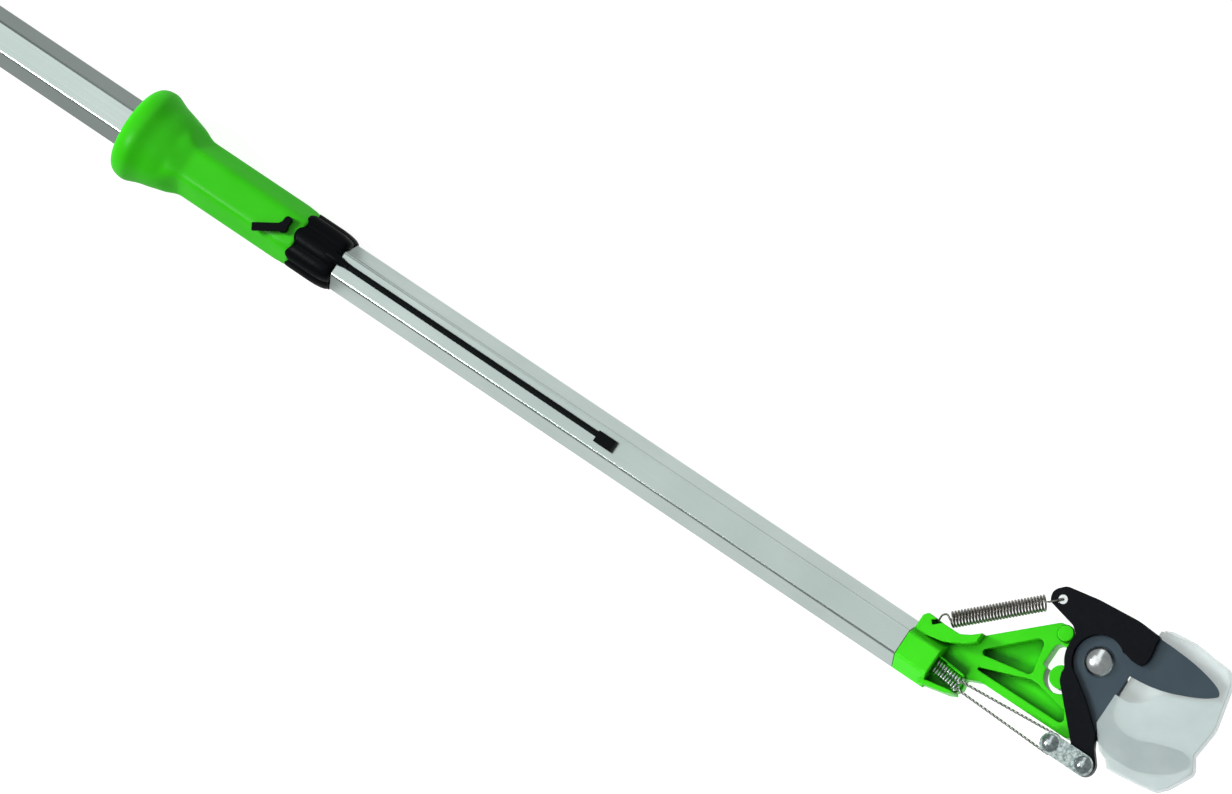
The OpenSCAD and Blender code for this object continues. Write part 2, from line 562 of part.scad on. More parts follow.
// Clear guard that slides over both jaws from the front
function guard_rim(m) = [[m, -31, 0], [23.9, -36.2, 2], [30.6, -44.2, 2], [36.5, -46.4, 2], [40.4, -50.8, 2.5],
  [62, -48.2, 8], [72.4, -46.2, 5], [78, -40, 5], [86, -24.5, 6], [80, -15.4, 3], [82, 4, 20], [75.4, 31.5, 10],
  [69.5, 39.2, 6], [58, 39.8, 8], [44, 41.2, 10], [29.4, 39.6, 4], [m, 35.8, 0]];
guard_back = -plate_t - 0.5;
guard_front = bz1 + 0.7;
module blade_guard() color([0.85, 0.9, 0.88, 0.5]) at_pivot() difference() {
  plate(guard_back - guard_t, guard_front - guard_back + 2*guard_t) polygon(rpoly(guard_rim(guard_mouth)));
  plate(guard_back, guard_front - guard_back) {
    polygon(rpoly(inset(guard_rim(8), guard_t)));
    // Open heel, so that the hook can leave when the guard is pulled off
    polygon([[8, -60], [38, -60], [38, -40], [8, -20]]);
  }
  // Front wall cut away along the open blade
  plate(guard_front - 1, 9) intersection() {
    polygon(rpoly(inset(guard_rim(8), guard_t)));
    polygon([[8, -11.2], [29, -10.6], [36, -6.5], [40.4, 0], [44, 4.4], [54.7, 9], [64.9, 14], [73, 19.6],
      [90, 21], [90, 60], [8, 60]]);
  }
}

pole_tube();
rear_grip();
end_cap();
cord_inlet();
head_frame();
socket_screws();
stop_pin();
hook_blade();
pivot_bolt();
pivot_washer();
pivot_nut();
rope_guides();
wire_rope();
tension_spring();
grip_sleeve();
grip_ring();
pull_cord();
rope_splice();
lock_lever();
lever_body();
cutting_blade();
spring_pin();
link_plate_front();
link_plate_rear();
link_rivet();
sheave_rivet();
sheave();
blade_guard();
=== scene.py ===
# %% [markdown]
# # A tree pruner pole, dressed
# The imported CAD model is the skeleton of this lesson. Every piece is in metres, in
# one frame: X runs along the pole to the cutting head, Z leaves the cutting plane,
# and the hanging hole at the rear end is the origin. We load that skeleton first and
# keep its box.

# %% Load the frame
import math
import bpy
import numpy as np
from mathutils import Matrix, Vector


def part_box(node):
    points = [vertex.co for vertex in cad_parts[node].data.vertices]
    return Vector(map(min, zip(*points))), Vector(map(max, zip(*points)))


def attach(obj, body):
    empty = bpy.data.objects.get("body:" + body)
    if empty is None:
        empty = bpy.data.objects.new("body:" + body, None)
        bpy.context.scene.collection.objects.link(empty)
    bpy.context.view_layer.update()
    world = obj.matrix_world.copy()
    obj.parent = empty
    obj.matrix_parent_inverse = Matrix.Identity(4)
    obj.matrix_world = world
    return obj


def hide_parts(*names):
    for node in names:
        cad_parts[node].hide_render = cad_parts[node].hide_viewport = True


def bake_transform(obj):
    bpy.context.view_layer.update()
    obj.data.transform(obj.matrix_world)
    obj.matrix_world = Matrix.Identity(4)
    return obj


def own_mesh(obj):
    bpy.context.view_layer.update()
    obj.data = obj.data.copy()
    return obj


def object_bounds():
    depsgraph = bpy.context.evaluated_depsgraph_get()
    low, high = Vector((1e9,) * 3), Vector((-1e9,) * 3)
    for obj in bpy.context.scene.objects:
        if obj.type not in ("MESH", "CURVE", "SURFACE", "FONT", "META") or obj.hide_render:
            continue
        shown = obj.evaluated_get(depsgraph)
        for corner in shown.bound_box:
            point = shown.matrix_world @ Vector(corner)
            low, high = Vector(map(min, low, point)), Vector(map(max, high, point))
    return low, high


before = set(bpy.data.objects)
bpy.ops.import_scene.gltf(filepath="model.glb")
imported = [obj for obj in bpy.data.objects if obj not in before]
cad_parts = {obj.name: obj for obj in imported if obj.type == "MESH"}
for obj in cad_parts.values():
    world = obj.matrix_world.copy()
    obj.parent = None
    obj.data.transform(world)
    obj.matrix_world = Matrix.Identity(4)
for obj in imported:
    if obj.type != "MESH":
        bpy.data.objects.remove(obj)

MM = 0.001
cad_box = [list(corner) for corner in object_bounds()]
print("CAD box", np.round(cad_box, 4).tolist())

# %% [markdown]
# ## The camera
# The photograph looks down on the flat side of the tool, leaning 16 degrees towards
# the head, and the pole runs from the upper left to the lower right. A long lens far
# away keeps the pole's edges nearly parallel. The picture's axes are built from the
# pole's own: one along it, one across it, turned by the roll of the picture.

# %% Camera at the photograph's angle
PICTURE_WIDTH = 1232
FOCAL_PIXELS = 8524.6
LEAN, ROLL = math.radians(16), math.radians(33.8)
LOOK_AT, DISTANCE = np.array([1.1625, 0.02679, 0.0]), 5.2

toward = np.array([math.sin(LEAN), 0, math.cos(LEAN)])
along = np.array([math.cos(LEAN), 0, -math.sin(LEAN)])
across = np.array([0.0, 1.0, 0.0])
pose = np.eye(4)
pose[:3, 0] = math.cos(ROLL) * along + math.sin(ROLL) * across
pose[:3, 1] = math.cos(ROLL) * across - math.sin(ROLL) * along
pose[:3, 2] = toward
pose[:3, 3] = LOOK_AT + DISTANCE * toward

lens = bpy.data.cameras.new("camera")
lens.sensor_width = 36
lens.lens = FOCAL_PIXELS * lens.sensor_width / PICTURE_WIDTH
lens.clip_end = 60
camera = bpy.data.objects.new("camera", lens)
bpy.context.collection.objects.link(camera)
camera.matrix_world = Matrix(pose.tolist())
bpy.context.scene.camera = camera
print("lens", round(lens.lens, 1), "mm")

# %% [markdown]
# ## Surfaces as grids
# Every new shape here is a grid of points: rows run along it and columns run round it.
# Numpy works out all the points at once, and the faces only have to name neighbours. That
# is why one pair of helpers is enough for a table, a spring and a grip alike.

# %% Grid surfaces from arrays
def grid_faces(rows, columns, wrap_rows=False, wrap_columns=False):
    """Quads between neighbours of a grid of points; a wrapped side closes on itself."""
    row = np.arange(rows - (not wrap_rows))
    column = np.arange(columns - (not wrap_columns))
    i, j = np.meshgrid(row, column, indexing="ij")
    i2, j2 = (i + 1) % rows, (j + 1) % columns
    corners = [i * columns + j, i * columns + j2, i2 * columns + j2, i2 * columns + j]
    return np.stack(corners, -1).reshape(-1, 4)


def new_piece(name, points, faces, uv=None, smooth=True):
    """Mesh object at the origin from points, faces and, for each face corner, a UV place."""
    mesh = bpy.data.meshes.new(name)
    points = np.asarray(points).reshape(-1, 3).tolist()
    mesh.from_pydata(points, [], [list(map(int, face)) for face in faces])
    if uv is not None:
        mesh.uv_layers.new(name="wrap").data.foreach_set("uv", np.asarray(uv, np.float32).ravel())
    mesh.polygons.foreach_set("use_smooth", np.full(len(mesh.polygons), smooth))
    mesh.update()
    piece = bpy.data.objects.new(name, mesh)
    bpy.context.collection.objects.link(piece)
    print(name, len(mesh.vertices), "points,", len(mesh.polygons), "faces")
    return piece


# %% [markdown]
# ## Table and cards
# The tool lies on a white table. Shiny faces don't see the table itself but two cards
# below it, as a photographer would hold them: a pale one lightens the slanted faces of the
# tube in front and a grey one leaves them dark behind.

# %% Table and cards
FLOOR_REACH, CARD_FROM, CARD_BELOW = 4.0, 0.95, 10 * MM
floor_z = cad_box[0][2] - 0.2 * MM


def flat_sheet(name, x_from, x_to, z):
    """Flat grid of points at height z between two places along the pole."""
    x, y = np.meshgrid(np.linspace(x_from, x_to, 5), np.linspace(-FLOOR_REACH, FLOOR_REACH, 9))
    sheet = new_piece(name, np.stack([x, y, np.full_like(x, z)], -1), grid_faces(9, 5))
    return sheet


table = flat_sheet("table", -FLOOR_REACH, 1.5 * FLOOR_REACH, floor_z)
table.visible_glossy = False
rear_card = flat_sheet("rear_card", -FLOOR_REACH, CARD_FROM, floor_z - CARD_BELOW)
front_card = flat_sheet("front_card", CARD_FROM, 1.5 * FLOOR_REACH, floor_z - CARD_BELOW)
for card in (rear_card, front_card):
    card.visible_camera = False
    card.visible_diffuse = False
    card.visible_shadow = False
    card.visible_transmission = False

# %% [markdown]
# ## Studio light
# Metal shows its lamps and plastic shows its own colour, so each gets lamps of its own.
# Two softboxes overhead and two at the sides are seen by shiny rays only: they make the
# tube's flat face bright and draw a thin line along its rounded edge. A key light from
# beyond the rear end and a small lamp over the head are seen by matt rays only: they shade
# the flare and the pockets.

# %% Lights and world
WORLD_GREY = (0.25, 0.258, 0.258, 1)
HEAD_SPREAD = math.radians(60)


def softbox(name, place, aim, size, watts, shine):
    """Rectangular area light at place that faces aim, seen by shiny rays or else by matt ones."""
    light = bpy.data.lights.new(name, "AREA")
    light.shape = "RECTANGLE"
    light.size, light.size_y = size
    light.energy = watts
    lamp = bpy.data.objects.new(name, light)
    bpy.context.collection.objects.link(lamp)
    turn = (Vector(place) - Vector(aim)).to_track_quat("Z", "Y")
    lamp.matrix_world = Matrix.Translation(place) @ turn.to_matrix().to_4x4()
    lamp.visible_diffuse = not shine
    lamp.visible_glossy = shine
    print("light", name, watts, "W")
    return lamp


softbox("overhead_rear", (-0.55, 0.0, 2.6), (-0.55, 0.0, 0.0), (1.5, 2.2), 9.2, shine=True)
softbox("overhead_front", (0.95, 0.0, 2.6), (0.95, 0.0, 0.0), (1.5, 2.2), 7.3, shine=True)
softbox("rear_strip", (0.04, -0.95, 1.85), (0.65, 0.0, 0.0), (0.6, 0.5), 22, shine=True)
softbox("front_strip", (0.75, 1.66, 1.3), (1.2, 0.0, 0.0), (0.9, 2.6), 6, shine=True)
softbox("key", (-1.9, -0.5, 2.0), (1.1, 0.0, 0.0), (1.0, 1.0), 135, shine=False)
head_light = softbox("head_light", (1.34, -0.55, 0.75), (1.47, 0.02, 0.0), (0.3, 0.3), 0.66, shine=False)
head_light.data.spread = HEAD_SPREAD

world = bpy.data.worlds.new("studio")
world.use_nodes = True
world.node_tree.nodes["Background"].inputs["Color"].default_value = WORLD_GREY
bpy.context.scene.world = world
bpy.context.scene.view_settings.view_transform = "Standard"

# %% [markdown]
# ## Finishes
# A finish is a small tree of shader nodes that reads Object coordinates, so its grain
# keeps its real size on every piece. The class below keeps the wiring short: one call
# adds a node, sets what it is given and links what it is given as another node's output.

# %% A short way to wire shader nodes
class Finish:
    """A material with one Principled shader, and a helper to add and link nodes."""

    def __init__(self, name, **sockets):
        self.material = bpy.data.materials.new(name)
        self.material.use_nodes = True
        self.tree = self.material.node_tree
        self.tree.nodes.clear()
        self.shader = self.node("BsdfPrincipled", **sockets)
        self.node("OutputMaterial", Surface=self.shader.outputs["BSDF"])
        self.place = self.node("TexCoord").outputs["Object"]
        print("finish", name)

    def node(self, kind, settings=None, **sockets):
        """New node with its settings; a socket's value is a number, a colour or an output to link."""
        made = self.tree.nodes.new("ShaderNode" + kind)
        for key, value in (settings or {}).items():
            setattr(made, key, value)
        for key, value in sockets.items():
            self.put(made.inputs[key.replace("_", " ")], value)
        return made

    def put(self, socket, value):
        """Links an output to the socket, or sets the socket to a value."""
        if isinstance(value, bpy.types.NodeSocket):
            self.tree.links.new(value, socket)
        elif socket.type == "RGBA" and len(value) == 3:
            socket.default_value = (*value, 1)
        else:
            socket.default_value = value

    def noise(self, scale, detail=3.0, stretch=(1, 1, 1)):
        """Noise between 0 and 1 with about scale bumps to the metre, stretched by axis."""
        spread = self.node("Mapping", Vector=self.place, Scale=stretch)
        cloud = self.node("TexNoise", Vector=spread.outputs[0], Scale=scale, Detail=detail)
        return cloud.outputs["Fac"]

    def between(self, amount, low, high, start=0.3, stop=0.7):
        """Value that goes from low to high while amount goes from start to stop."""
        ramp = self.node("MapRange", Value=amount, From_Min=start, From_Max=stop, To_Min=low, To_Max=high)
        return ramp.outputs[0]

    def tint(self, amount, low, high, start=0.3, stop=0.7):
        """Colour that goes from low to high while amount goes from start to stop."""
        mix = self.node("Mix", {"data_type": "RGBA"})
        self.put(mix.inputs[0], self.between(amount, 0.0, 1.0, start, stop))
        self.put(mix.inputs[6], low)
        self.put(mix.inputs[7], high)
        return mix.outputs[2]

    def relief(self, amount, depth, soft=0.0):
        """Bump of that depth in metres, on edges rounded by soft metres."""
        bump = self.node("Bump", Height=amount, Distance=depth, Strength=1.0)
        if soft:
            edge = self.node("Bevel", {"samples": 6}, Radius=soft)
            self.put(bump.inputs["Normal"], edge.outputs[0])
        self.put(self.shader.inputs["Normal"], bump.outputs[0])

    def look(self, color, rough):
        """Sets the shader's colour and roughness."""
        self.put(self.shader.inputs["Base Color"], color)
        self.put(self.shader.inputs["Roughness"], rough)


def dress(finish, *names):
    """Gives CAD nodes a finish, without touching their meshes."""
    for name in names:
        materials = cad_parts[name].data.materials
        materials.clear()
        materials.append(finish.material)


# %% [markdown]
# The table is white because it glows, like a light table. White paint under strong lamps
# would do too, but the tool would throw shadows and a green shine on it, and the photograph
# has hardly any. The cards glow as well, as no lamp reaches them.

# %% White table
SHEET_LOOKS = ((table, 0.25, 0.93), (rear_card, 0.02, 0.42), (front_card, 0.02, 0.95))

for sheet, tone, glow in SHEET_LOOKS:
    white = Finish(sheet.name + "_white", Emission_Strength=glow, Emission_Color=(1, 1, 1))
    paper = white.tint(white.noise(3), (tone, tone, tone), (0.97 * tone, 0.97 * tone, 0.97 * tone))
    white.look(paper, 0.9)
    sheet.data.materials.append(white.material)

# %% [markdown]
# The tube is drawn aluminium, satin anodised, with fine lines along it. They are much
# thinner than a pixel, so they aren't modelled: noise that is stretched far along X makes
# them, in the roughness and, very low, in the bump.

# %% Drawn aluminium
aluminium = Finish("drawn_aluminium", Metallic=1.0)
lines = aluminium.noise(900, 2, (0.006, 1, 1))
cloud = aluminium.noise(22, 3)
silver = aluminium.tint(cloud, (0.46, 0.54, 0.512), (0.51, 0.59, 0.562))
aluminium.look(silver, aluminium.between(lines, 0.15, 0.26))
aluminium.relief(lines, 0.012 * MM)
dress(aluminium, "pole_tube")

# %% [markdown]
# The green pieces are moulded plastic: an even colour, a soft sheen that breaks up a
# little, and edges with the small rounding that a mould leaves. In pockets and corners the
# colour is darkened with painted shade. It could be placed by hand; here the share of open
# space over each spot of the piece decides how dark, so the painted shade follows the
# shape.

# %% Moulded green plastic
SHADE_GREEN, LEAF_GREEN, PALE_GREEN = (0.008, 0.2, 0.001), (0.038, 0.6, 0.006), (0.046, 0.66, 0.009)

green = Finish("moulded_green", Specular_IOR_Level=0.12)
flow = green.noise(38, 3)
pores = green.noise(1500, 2)
# Painted shade: the colour darkens where little open space lies over a spot, in pockets and corners.
shade_by_openness = green.node("AmbientOcclusion", {"only_local": True, "samples": 8}, Distance=7 * MM)
fresh = green.tint(flow, LEAF_GREEN, PALE_GREEN)
green_with_painted_shade = green.tint(shade_by_openness.outputs["AO"], SHADE_GREEN, fresh, 0.3, 0.84)
green.look(green_with_painted_shade, green.between(flow, 0.28, 0.38))
green.relief(pores, 0.02 * MM, 1.3 * MM)
dress(green, "head_frame", "end_cap")

# %% [markdown]
# Black pieces differ in grain: the ring, the hood and the lock lever are hard plastic,
# the rear sleeve is rubber, and the lever's cover is a smoother satin plastic. One black
# for all would be simpler, but then only their outlines would tell them apart.

# %% Black plastic, rubber and the lever's cover
black = Finish("black_plastic", Specular_IOR_Level=0.05)
grain = black.noise(900, 3)
soot = black.tint(grain, (0.0016, 0.0024, 0.003), (0.003, 0.004, 0.005))
black.look(soot, black.between(grain, 0.3, 0.48))
black.relief(grain, 0.03 * MM, 0.5 * MM)
dress(black, "cord_inlet", "lock_lever")

rubber = Finish("black_rubber", Specular_IOR_Level=0.25)
tooth = rubber.noise(1600, 4)
worn = rubber.noise(120, 5)
dusty = rubber.tint(worn, (0.011, 0.012, 0.013), (0.03, 0.031, 0.032))
rubber.look(dusty, rubber.between(tooth, 0.5, 0.85))
rubber.relief(tooth, 0.08 * MM, 0.8 * MM)
dress(rubber, "rear_grip")

cover = Finish("lever_cover", Specular_IOR_Level=0.07)
satin = cover.noise(500, 3)
night = cover.tint(satin, (0.003, 0.004, 0.0055), (0.005, 0.006, 0.008))
cover.look(night, cover.between(satin, 0.3, 0.42))
cover.relief(satin, 0.012 * MM, 0.8 * MM)
dress(cover, "lever_body")

# %% [markdown]
# Blade and hook carry a grey non-stick coat: dull, slightly blue, with a fine tooth. Bare
# metal would mirror the lamps, so the finish is mostly paint with a little metal in it, and
# the tooth goes into the roughness.

# %% Coated steel
coated = Finish("coated_steel", Metallic=0.25, Specular_IOR_Level=0.4)
tooth = coated.noise(1200, 3)
drift = coated.noise(45, 2)
slate = coated.tint(drift, (0.034, 0.055, 0.073), (0.043, 0.068, 0.087))
coated.look(slate, coated.between(tooth, 0.42, 0.56))
coated.relief(tooth, 0.015 * MM, 0.3 * MM)
dress(coated, "cutting_blade", "hook_blade")

# %% [markdown]
# Bolt, rivets and link are zinc plated. The plating is bright, with cloudy patches on
# the stamped link plates, so those get a stronger spangle than the turned pieces. The
# hammered heads of the rivets are a darker grey. All three are the same few nodes with
# noise of another size.

# %% Zinc plating
zinc = Finish("bright_zinc", Metallic=1.0)
haze = zinc.noise(240, 3)
plated = zinc.tint(haze, (0.74, 0.8, 0.8), (0.9, 0.94, 0.93))
zinc.look(plated, zinc.between(haze, 0.18, 0.28))
zinc.relief(haze, 0.02 * MM, 0.3 * MM)
dress(zinc, "pivot_bolt", "pivot_washer", "pivot_nut", "socket_screws")
dress(zinc, "spring_pin", "rope_splice", "sheave")

riveted = Finish("riveted_zinc", Metallic=1.0)
haze = riveted.noise(420, 3)
hammered = riveted.tint(haze, (0.36, 0.44, 0.45), (0.66, 0.74, 0.74))
riveted.look(hammered, riveted.between(haze, 0.12, 0.22))
riveted.relief(haze, 0.03 * MM, 0.6 * MM)
dress(riveted, "link_rivet", "sheave_rivet")

spangled = Finish("spangled_zinc", Metallic=0.9)
flake = spangled.noise(700, 4)
cloudy = spangled.tint(flake, (0.2, 0.275, 0.265), (0.6, 0.69, 0.67), 0.36, 0.62)
spangled.look(cloudy, spangled.between(flake, 0.28, 0.5))
spangled.relief(flake, 0.04 * MM, 0.4 * MM)
dress(spangled, "link_plate_front", "link_plate_rear")

# %% [markdown]
# The guard is milky polythene, and the hook behind it is only a bluish shade. A glass
# shader with real scattering could show that, but slowly. Here alpha lets about half of
# the light straight through and the pale colour scatters the rest.

# %% Milky guard
milky = Finish("milky_guard", Alpha=0.46, Specular_IOR_Level=0.4)
veil = milky.noise(60, 3)
milk = milky.tint(veil, (0.57, 0.67, 0.66), (0.65, 0.75, 0.74))
milky.look(milk, milky.between(veil, 0.3, 0.4))
milky.relief(veil, 0.05 * MM, 0.6 * MM)
dress(milky, "blade_guard")

# %% [markdown]
# ## Wound wire
# A spring is a circle carried along a helix. The helix gives both the path and, as its
# own spoke from axis to wire, a vector that is never along the path, so every ring of
# the tube can be built from it at once.

# %% Circles carried along a path
def length_run(path):
    """Length from the start of a path to each of its points."""
    return np.concatenate([[0], np.cumsum(np.linalg.norm(np.diff(path, axis=0), axis=1))])


def carry_ring(name, path, spoke, radius, sides, mark=None):
    """Tube along path. Each ring lies across the path, its angle 0 along the spoke.

    radius is a number or an array of rings by sides. UV u is the length run along the
    path and v the part of a turn. The mark is kept as a point attribute for painted shade."""
    path = np.asarray(path, float)
    tangent = np.gradient(path, axis=0)
    tangent /= np.linalg.norm(tangent, axis=1, keepdims=True)
    spoke = np.broadcast_to(np.asarray(spoke, float), path.shape)
    spoke = spoke - (spoke * tangent).sum(1, keepdims=True) * tangent
    spoke /= np.linalg.norm(spoke, axis=1, keepdims=True)
    side = np.cross(tangent, spoke)
    turn = np.linspace(0, 2 * np.pi, sides, endpoint=False)
    reach = np.broadcast_to(radius, (len(path), sides))[..., None]
    outward = np.cos(turn)[:, None] * spoke[:, None] + np.sin(turn)[:, None] * side[:, None]
    rings = path[:, None] + reach * outward
    faces = grid_faces(len(path), sides, wrap_columns=True).tolist()
    run = length_run(path)
    i, j = np.meshgrid(np.arange(len(path) - 1), np.arange(sides), indexing="ij")
    u = np.stack([run[i], run[i], run[i + 1], run[i + 1]], -1)
    v = np.stack([j, j + 1, j + 1, j], -1) / sides
    corners = np.concatenate([np.stack([u, v], -1).reshape(-1, 2), np.zeros((2 * sides, 2))])
    last = (len(path) - 1) * sides
    caps = [list(range(sides))[::-1], list(range(last, last + sides))]
    piece = new_piece(name, rings, faces + caps, corners)
    if mark is not None:
        kept = piece.data.attributes.new("mark", "FLOAT", "POINT")
        kept.data.foreach_set("value", np.ravel(mark).astype(np.float32))
    return piece


def through(points, count):
    """Smooth curve through points: on each stretch a cubic whose ends lean towards the next ones."""
    p = np.concatenate([points[:1], points, points[-1:]]).astype(float)
    t = np.linspace(0, len(points) - 1, count)
    i = np.minimum(t.astype(int), len(points) - 2)
    f = (t - i)[:, None]
    a, b, c, d = p[i], p[i + 1], p[i + 2], p[i + 3]
    square, cube = 2 * a - 5 * b + 4 * c - d, 3 * b - a - 3 * c + d
    return 0.5 * (2 * b + (c - a) * f + square * f ** 2 + cube * f ** 3)


def eased(t):
    """Smooth step from 0 to 1."""
    t = np.clip(t, 0, 1)
    return t * t * (3 - 2 * t)


# %% [markdown]
# ## Stop button
# The open lever rests against a round green button. It is a circle carried up its own
# axis: a shank in the frame, a straight wall and a rounded top. A mark on the points paints
# shade into the green of the wall and the rim, where the button is set off from its frame.

# %% Stop button
SHANK_RADIUS, BUTTON_EDGE, BUTTON_SIDES = 3 * MM, 1.1 * MM, 64

low, high = (np.array(corner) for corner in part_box("stop_pin"))
button_radius = (high[0] - low[0]) / 2
bow = np.linspace(0, np.pi / 2, 9)
shank_r = [SHANK_RADIUS, SHANK_RADIUS, button_radius]
button_r = np.concatenate([shank_r, button_radius - BUTTON_EDGE * (1 - np.cos(bow))])
button_z = np.concatenate([[low[2], -0.02 * MM, 0], high[2] - BUTTON_EDGE * (1 - np.sin(bow))])
middle = (low + high) / 2
axis = np.stack([0 * button_z + middle[0], 0 * button_z + middle[1], button_z], -1)
# Painted shade: the mark is 1 on the shank, the wall and the foot of the rounding, and fades to 0 at the
# top.
rim = np.concatenate([np.ones(6), eased(np.linspace(1, 0, 6))])
rim = np.repeat(rim[:, None], BUTTON_SIDES, 1)
button = carry_ring("stop_button", axis, (1, 0, 0), button_r[:, None], BUTTON_SIDES, rim)

button_green = Finish("button_green", Specular_IOR_Level=0.12)
flow = button_green.noise(60, 3)
edge = button_green.node("Attribute", {"attribute_name": "mark"})
fresh = button_green.tint(flow, LEAF_GREEN, PALE_GREEN)
rim_with_painted_shade = button_green.tint(edge.outputs["Fac"], fresh, SHADE_GREEN, 0.1, 0.9)
button_green.look(rim_with_painted_shade, button_green.between(flow, 0.28, 0.38))
button.data.materials.append(button_green.material)
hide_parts("stop_pin")
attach(button, "pole")

# %% [markdown]
# ## Return spring
# The spring draws the lever open. Its wire leaves a notch in the green ridge, arches over
# into thirty curls, runs on over the lever's face and drops into the pin of the eye. A
# Screw modifier could wind the curls; a path of points also takes both hooked ends.

# %% Return spring
MID_Z, WIRE_OVER = 3.65 * MM, 4.1 * MM
SPRING_FROM, SPRING_TO = np.array([1409.5, 21.3]) * MM, np.array([1466.5, 75.1]) * MM
SPRING_CURLS, SPRING_MEAN, SPRING_WIRE = 30.25, 4.65 * MM, 1.3 * MM
COIL_START, COIL_STOP, COIL_RISE = 8.2 * MM, 11.2 * MM, 0.45 * MM
HOOK_POINTS, COIL_POINTS, TAIL_POINTS = 40, 730, 30

spring_run = np.linalg.norm(SPRING_TO - SPRING_FROM)
origin = np.append(SPRING_FROM, MID_Z)
axis = np.append((SPRING_TO - SPRING_FROM) / spring_run, 0)
flank = np.array([-axis[1], axis[0], 0])
upward = np.array([0, 0, 1.0])
wound = np.linspace(0, 1, COIL_POINTS)[:, None]
angle = 2 * np.pi * SPRING_CURLS * wound
radial = np.cos(angle) * flank + np.sin(angle) * upward
coil = origin + COIL_RISE * flank + (COIL_START + wound * (spring_run - COIL_STOP - COIL_START)) * axis
coil = coil + SPRING_MEAN * eased(wound * SPRING_CURLS / 0.6) * radial
hook = np.array([[1409.5, 21.3, -0.4], [1409.3, 21.6, 2.6], [1409.2, 24, 3.6],
                 [1409.3, 27, 3.65], [1411.4, 28.9, 3.65], [1414, 27.8, 3.65]]) * MM
far = (spring_run - np.array([8.6, 5, 1.2, 0.2, 0])[:, None] * MM) * axis
tail = origin + far + (WIRE_OVER - np.array([0.1, 0, 0, 1, 6])[:, None] * MM) * upward
spring_path = np.concatenate([through(hook, HOOK_POINTS), coil, through(tail, TAIL_POINTS)])
hook_spoke = np.tile(flank + 0.1 * axis, (HOOK_POINTS, 1))
tail_spoke = np.tile(flank, (TAIL_POINTS, 1))
spoke = np.concatenate([hook_spoke, radial, tail_spoke])
spring = carry_ring("return_spring", spring_path, spoke, SPRING_WIRE / 2, 10)

wire = Finish("drawn_wire", Metallic=1.0)
draw = wire.noise(1500, 3)
steel = wire.tint(draw, (0.085, 0.08, 0.068), (0.36, 0.345, 0.31))
wire.look(steel, wire.between(draw, 0.2, 0.34))
wire.relief(draw, 0.01 * MM)
spring.data.materials.append(wire.material)
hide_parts("tension_spring")
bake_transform(spring)

# %% [markdown]
# ## Rope guides
# Two short coils lead both runs of the wire rope out of the neck, where they would chafe.
# They are the spring's carried circle again with fewer curls, so one loop over two pairs
# of heights makes both.

# %% Rope guides
GUIDE_FROM, GUIDE_TO = 1423.6 * MM, 1441.6 * MM
GUIDE_CURLS, GUIDE_MEAN, GUIDE_WIRE = 9, 1.9 * MM, 1.2 * MM
GUIDE_HEIGHTS = np.array([[1.8, 0.1], [-3.1, -5.0]]) * MM

t = np.linspace(0, 1, GUIDE_CURLS * 20)[:, None]
turn = 2 * np.pi * GUIDE_CURLS * t
for name, (rear, front) in zip(("rope_guide_upper", "rope_guide_lower"), GUIDE_HEIGHTS):
    a = np.array([GUIDE_FROM, rear, MID_Z])
    b = np.array([GUIDE_TO, front, MID_Z])
    lead = (b - a) / np.linalg.norm(b - a)
    spoke = np.cos(turn) * np.array([-lead[1], lead[0], 0]) + np.sin(turn) * upward
    guide = carry_ring(name, a + t * (b - a) + GUIDE_MEAN * spoke, spoke, GUIDE_WIRE / 2, 8)
    guide.data.materials.append(zinc.material)
    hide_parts("rope_guides")
    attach(guide, "pole")

# %% [markdown]
# ## Wire rope
# A stranded rope is a tube whose cross-section has three lobes that turn as it runs, so
# its radius is one cosine of the angle minus the twist. The same cosine is kept as a mark
# on the points and darkens the grooves with painted shade. The two straight runs hang on
# the pole; the loop goes with the link's sheave.

# %% Stranded rope
ROPE_RADIUS, STRANDS, LAY_LENGTH = 0.85 * MM, 3, 9 * MM
SHEAVE_AT, SHEAVE_RADIUS = np.array([1509.0, -0.8]) * MM, 6.2 * MM
LINK_TRAVEL = np.array([-49.4, -2.8, 0]) * MM
ROPE_SIDES, GROOVE = 36, 0.34


def stranded(name, path):
    """Three-lobed tube along path whose lobes make one turn in a lay length."""
    turn = np.linspace(0, 2 * np.pi, ROPE_SIDES, endpoint=False)
    twist = 2 * np.pi * length_run(path)[:, None] / LAY_LENGTH
    lobes = np.abs(np.cos(STRANDS / 2 * (turn - twist)))
    radius = ROPE_RADIUS * (1 - GROOVE + GROOVE * lobes)
    piece = carry_ring(name, path, (0, 0, 1), radius, ROPE_SIDES, lobes)
    piece.data.materials.append(rope_steel.material)
    return piece


rope_steel = Finish("rope_steel", Metallic=1.0)
draw = rope_steel.noise(1800, 2)
# Painted shade: the mark darkens the steel in the grooves between the strands.
groove = rope_steel.node("Attribute", {"attribute_name": "mark"})
strand_with_groove_shade = rope_steel.tint(groove.outputs["Fac"], (0.03, 0.03, 0.03), (0.6, 0.6, 0.58), 0.3, 0.95)
rope_steel.look(strand_with_groove_shade, rope_steel.between(draw, 0.22, 0.36))
rope_steel.relief(draw, 0.01 * MM)

bend = np.radians(np.linspace(94, -91, 60))
loop_x = SHEAVE_AT[0] + SHEAVE_RADIUS * np.cos(bend)
loop_y = SHEAVE_AT[1] + SHEAVE_RADIUS * np.sin(bend)
loop_path = np.stack([loop_x, loop_y, np.full_like(bend, MID_Z)], -1)
rope_loop = stranded("rope_loop", loop_path)
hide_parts("wire_rope")
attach(rope_loop, "link")

